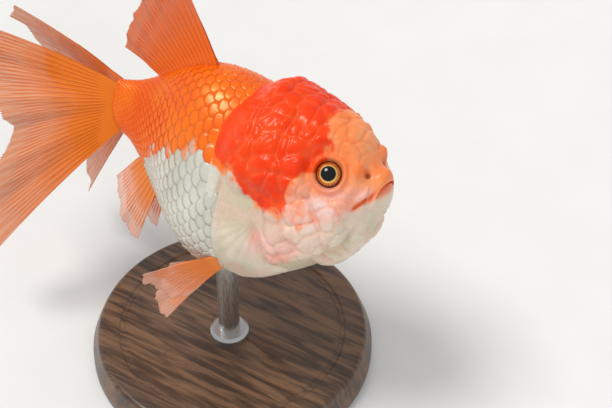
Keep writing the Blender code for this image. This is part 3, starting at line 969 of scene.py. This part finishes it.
def eyeMaterial():
    material, tree, shader = newMaterial(
        "goldEye", Coat_Weight=1.0, Coat_Roughness=0.02, Coat_IOR=1.36, Specular_IOR_Level=0.1
    )
    fromAxis, around = attributeParts(tree, "eye")[:2]
    streak = addNode(
        tree, "ShaderNodeTexNoise", (("W", around), ("Scale", 60.0), ("Detail", 3.0)),
        noise_dimensions="1D",
    ).outputs["Fac"]
    pupil = iris["pupil"]
    edge = iris["edge"]
    gold = mixColour(tree, remap(tree, streak, 0.35, 0.65), iris["gold"], iris["brown"])
    gold = mixColour(tree, remap(tree, fromAxis, pupil + 0.05, pupil + 0.16), iris["ring"], gold)
    gold = mixColour(tree, remap(tree, fromAxis, edge - 0.2, edge), gold, iris["rim"])
    inIris = remap(tree, fromAxis, pupil - 0.02, pupil + 0.02)
    tree.links.new(mixColour(tree, inIris, iris["black"], gold), shader.inputs["Base Color"])
    tree.links.new(maths(tree, "MULTIPLY", inIris, 0.7), shader.inputs["Metallic"])
    polish = remap(tree, fromAxis, pupil - 0.02, pupil + 0.04, 0.05, 0.3)
    tree.links.new(polish, shader.inputs["Roughness"])
    return material


def makeEyes():
    material = eyeMaterial()
    for side, hand in ((-1, "right"), (1, "left")):
        centre, outward = eyes[side]
        bm = bmesh.new()
        bmesh.ops.create_uvsphere(bm, u_segments=64, v_segments=48, radius=1)
        ball = meshObject(f"eyeball_{hand}", bm)
        unitBall = coordinates(ball.data)
        fromAxis = np.arccos(np.clip(unitBall[:, 2], -1, 1))
        around = np.arctan2(unitBall[:, 1], unitBall[:, 0]) / tau + 0.5
        reach = eye["radius"] - iris["bulge"] * smooth(fromAxis, 0.6, iris["edge"])
        moveVertices(ball.data, unitBall * reach[:, None])
        turn = Vector(outward).to_track_quat("Z", "Y").to_matrix().to_4x4()
        ball.data.transform(Matrix.Translation(centre) @ turn)
        setMarkings(ball.data, channels(fromAxis, around), "eye")
        finishPiece(ball, material, (f"eye_{hand}",))
    print("eyes: done")


stand = {
    "baseRadius": 0.040,
    "baseHeight": 0.009,
    "footBevel": 0.0006,
    "stepHeight": 0.42,  # of the step round the base, as a share of the base's height
    "stepWidth": 0.0012,
    "edge": 0.0016,
    "groove": (0.0075, 0.0080, 0.0090, 0.0095),  # how far inside the rim its corners lie
    "grooveDepth": 0.0004,
    "rodRadius": 0.003,
    "rodSunk": (0.0003, 0.0015),  # how far the rod goes past its solid, down and up
    "collarRadius": 0.0055,
    "collarHeight": 0.0025,
    "collarBevel": 0.0008,
    "woodDark": (0.045, 0.022, 0.011),
    "woodLight": (0.16, 0.080, 0.038),
    "woodPore": (0.015, 0.008, 0.005),
    "steelDark": (0.50, 0.50, 0.50),
    "steelLight": (0.72, 0.71, 0.69),
}


def woodMaterial():
    material, tree, shader = newMaterial("turnedWalnut", Coat_Weight=0.35, Coat_Roughness=0.18)
    place = addNode(tree, "ShaderNodeTexCoord").outputs["Object"]
    stretched = addNode(tree, "ShaderNodeMapping", (("Vector", place), ("Scale", (1.0, 9.0, 3.0))))
    grain = addNode(
        tree, "ShaderNodeTexNoise",
        (("Vector", stretched.outputs["Vector"]), ("Scale", 60.0), ("Detail", 6.0), ("Distortion", 0.6)),
    ).outputs["Fac"]
    pores = addNode(
        tree, "ShaderNodeTexNoise",
        (("Vector", stretched.outputs["Vector"]), ("Scale", 420.0), ("Detail", 2.0)),
    ).outputs["Fac"]
    colour = mixColour(tree, remap(tree, grain, 0.35, 0.65), stand["woodDark"], stand["woodLight"])
    colour = mixColour(tree, remap(tree, pores, 0.62, 0.72, 0, 0.7), colour, stand["woodPore"])
    tree.links.new(colour, shader.inputs["Base Color"])
    tree.links.new(remap(tree, grain, 0.3, 0.7, 0.32, 0.46), shader.inputs["Roughness"])
    bump = addNode(tree, "ShaderNodeBump", (("Height", pores), ("Strength", 0.2), ("Distance", 0.0002)))
    tree.links.new(bump.outputs["Normal"], shader.inputs["Normal"])
    return material


def steelMaterial():
    material, tree, shader = newMaterial("brushedSteel", Metallic=1.0)
    place = addNode(tree, "ShaderNodeTexCoord").outputs["Object"]
    stretched = addNode(tree, "ShaderNodeMapping", (("Vector", place), ("Scale", (1.0, 1.0, 0.04))))
    brushed = addNode(
        tree, "ShaderNodeTexNoise",
        (("Vector", stretched.outputs["Vector"]), ("Scale", 9000.0), ("Detail", 2.0)),
    ).outputs["Fac"]
    colour = mixColour(tree, brushed, stand["steelDark"], stand["steelLight"])
    tree.links.new(colour, shader.inputs["Base Color"])
    tree.links.new(remap(tree, brushed, 0.3, 0.7, 0.24, 0.40), shader.inputs["Roughness"])
    return material


def turned(name, outline, steps=128):  # a closed outline of radius and height, spun about Z
    bm = bmesh.new()
    points = [bm.verts.new((radius, 0, height)) for radius, height in outline]
    edges = [bm.edges.new(pair) for pair in zip(points, points[1:])]
    bmesh.ops.spin(
        bm, geom=points + edges, cent=(0, 0, 0), axis=(0, 0, 1), angle=tau, steps=steps, use_merge=True
    )
    bmesh.ops.remove_doubles(bm, verts=bm.verts, dist=1e-6)
    bmesh.ops.recalc_face_normals(bm, faces=bm.faces)
    return meshObject(name, bm)


def finishStand(found, material, replaced=()):
    found.data.materials.append(material)
    found.data.shade_smooth()
    found.data.set_sharp_from_angle(angle=radians(35))
    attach(found, "root")
    if replaced:
        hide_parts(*replaced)


def baseOutline():  # radius and height, from the middle of the underside to the middle of the top
    radius = stand["baseRadius"]
    height = stand["baseHeight"]
    edge = stand["edge"]
    bevel = stand["footBevel"]
    outline = [(0, 0), (radius - bevel, 0), (radius, bevel), (radius, height * stand["stepHeight"])]
    for step in range(7):  # a rounded upper edge above a small step
        turn = radians(90 * step / 6)
        reach = radius - stand["stepWidth"] - edge * (1 - cos(turn))
        outline.append((reach, height - 1.6 * edge * (1 - sin(turn))))
    low = height - stand["grooveDepth"]
    for inside, level in zip(stand["groove"], (height, low, low, height)):
        outline.append((radius - inside, level))
    return outline + [(0, height)]


def collarOutline():
    inner = stand["rodRadius"]
    outer = stand["collarRadius"]
    foot = stand["baseHeight"]
    top = foot + stand["collarHeight"]
    bevel = stand["collarBevel"]
    outside = [(outer, foot), (outer, top - bevel), (outer - bevel, top)]
    return [(inner, foot), *outside, (inner, top), (inner, foot)]


def makeStand():
    base = turned("stand_turned_base", baseOutline())
    finishStand(base, woodMaterial(), ("stand_base",))
    low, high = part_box("stand_rod")
    toAxis = Matrix.Translation(((low.x + high.x) / 2, (low.y + high.y) / 2, 0))
    radius = stand["rodRadius"]
    foot = low.z - stand["rodSunk"][0]
    top = high.z + stand["rodSunk"][1]
    steel = steelMaterial()
    rod = turned("stand_steel_rod", [(0, foot), (radius, foot), (radius, top), (0, top)], 48)
    rod.data.transform(toAxis)
    finishStand(rod, steel, ("stand_rod",))
    collar = turned("stand_collar", collarOutline(), 64)
    collar.data.transform(toAxis)
    finishStand(collar, steel)
    print("stand: done")


studio = {
    "floorColour": (0.74, 0.735, 0.72),
    "wallColour": (0.90, 0.90, 0.89),
    "distance": 0.5,  # from the fish's centre to the camera
    "azimuth": 34,
    "elevation": 44,
    "lens": 111.2,
    "aimRight": 0.0159,  # the camera looks this far beside and below the fish's centre
    "aimDown": 0.0119,
    "skyColour": (0.95, 0.97, 1.0),
    "skyStrength": 0.55,
}
lights = {  # where each comes from, its strength, spread in degrees and colour
    "key": ((-0.35, -0.25, 1.0), 1.9, 22, (1.0, 0.98, 0.95)),
    "fill": ((0.9, -0.8, 0.7), 0.7, 40, (0.95, 0.98, 1.0)),
    "back": ((-0.6, 1.0, 0.6), 0.6, 30, (1.0, 0.97, 0.93)),
}


def viewBack(azimuth, elevation):  # from what is looked at towards the camera
    turn = radians(azimuth)
    rise = radians(elevation)
    return Vector((sin(turn) * cos(rise), -cos(turn) * cos(rise), sin(rise)))


def addLight(name, source, strength, spread, colour):
    data = bpy.data.lights.new(name, "SUN")
    data.energy = strength
    data.angle = radians(spread)
    data.color = colour
    found = bpy.data.objects.new(name, data)
    found.rotation_euler = Vector(source).to_track_quat("Z", "Y").to_euler()
    found.visible_glossy = name == "key"  # one highlight in each eye
    bpy.context.collection.objects.link(found)


def makeFloor():
    bm = bmesh.new()
    bmesh.ops.create_circle(bm, cap_ends=True, segments=96, radius=12)
    floor = meshObject("floor", bm)
    material, tree, shader = newMaterial("paleFloor", Roughness=0.7)
    tint = remap(tree, noiseAt(tree, 0.02), 0.2, 0.8)
    pale = studio["floorColour"]
    darker = tuple(0.97 * part for part in pale)
    tree.links.new(mixColour(tree, tint, pale, darker), shader.inputs["Base Color"])
    floor.data.materials.append(material)


def makeCamera():
    centre = Vector(fish["centre"])
    back = viewBack(studio["azimuth"], studio["elevation"])
    right = Vector((cos(radians(studio["azimuth"])), sin(radians(studio["azimuth"])), 0))
    down = right.cross(back)
    data = bpy.data.cameras.new("camera")
    data.lens = studio["lens"]
    data.sensor_width = 36
    data.clip_start = 0.01
    camera = bpy.data.objects.new("camera", data)
    camera.location = centre + back * studio["distance"]
    aim = centre + right * studio["aimRight"] + down * studio["aimDown"]
    camera.rotation_euler = (aim - camera.location).to_track_quat("-Z", "Y").to_euler()
    bpy.context.collection.objects.link(camera)
    bpy.context.scene.camera = camera


def makeStudio():
    makeFloor()
    world = bpy.data.worlds.new("studio")
    world.use_nodes = True
    tree = world.node_tree
    sky = tree.nodes["Background"]
    sky.inputs["Color"].default_value = (*studio["skyColour"], 1)
    sky.inputs["Strength"].default_value = studio["skyStrength"]
    wall = addNode(tree, "ShaderNodeBackground", (("Color", (*studio["wallColour"], 1)), ("Strength", 1.0)))
    seen = addNode(tree, "ShaderNodeLightPath").outputs["Is Camera Ray"]
    both = addNode(tree, "ShaderNodeMixShader", ((0, seen), (1, sky.outputs[0]), (2, wall.outputs[0])))
    tree.links.new(both.outputs[0], tree.nodes["World Output"].inputs["Surface"])
    bpy.context.scene.world = world
    bpy.context.scene.view_settings.view_transform = "Standard"
    for name, settings in lights.items():
        addLight(name, *settings)
    makeCamera()
    print("studio: done")


makeSkin()
makeScales()
makeFins()
makeEyes()
makeStand()
makeStudio()
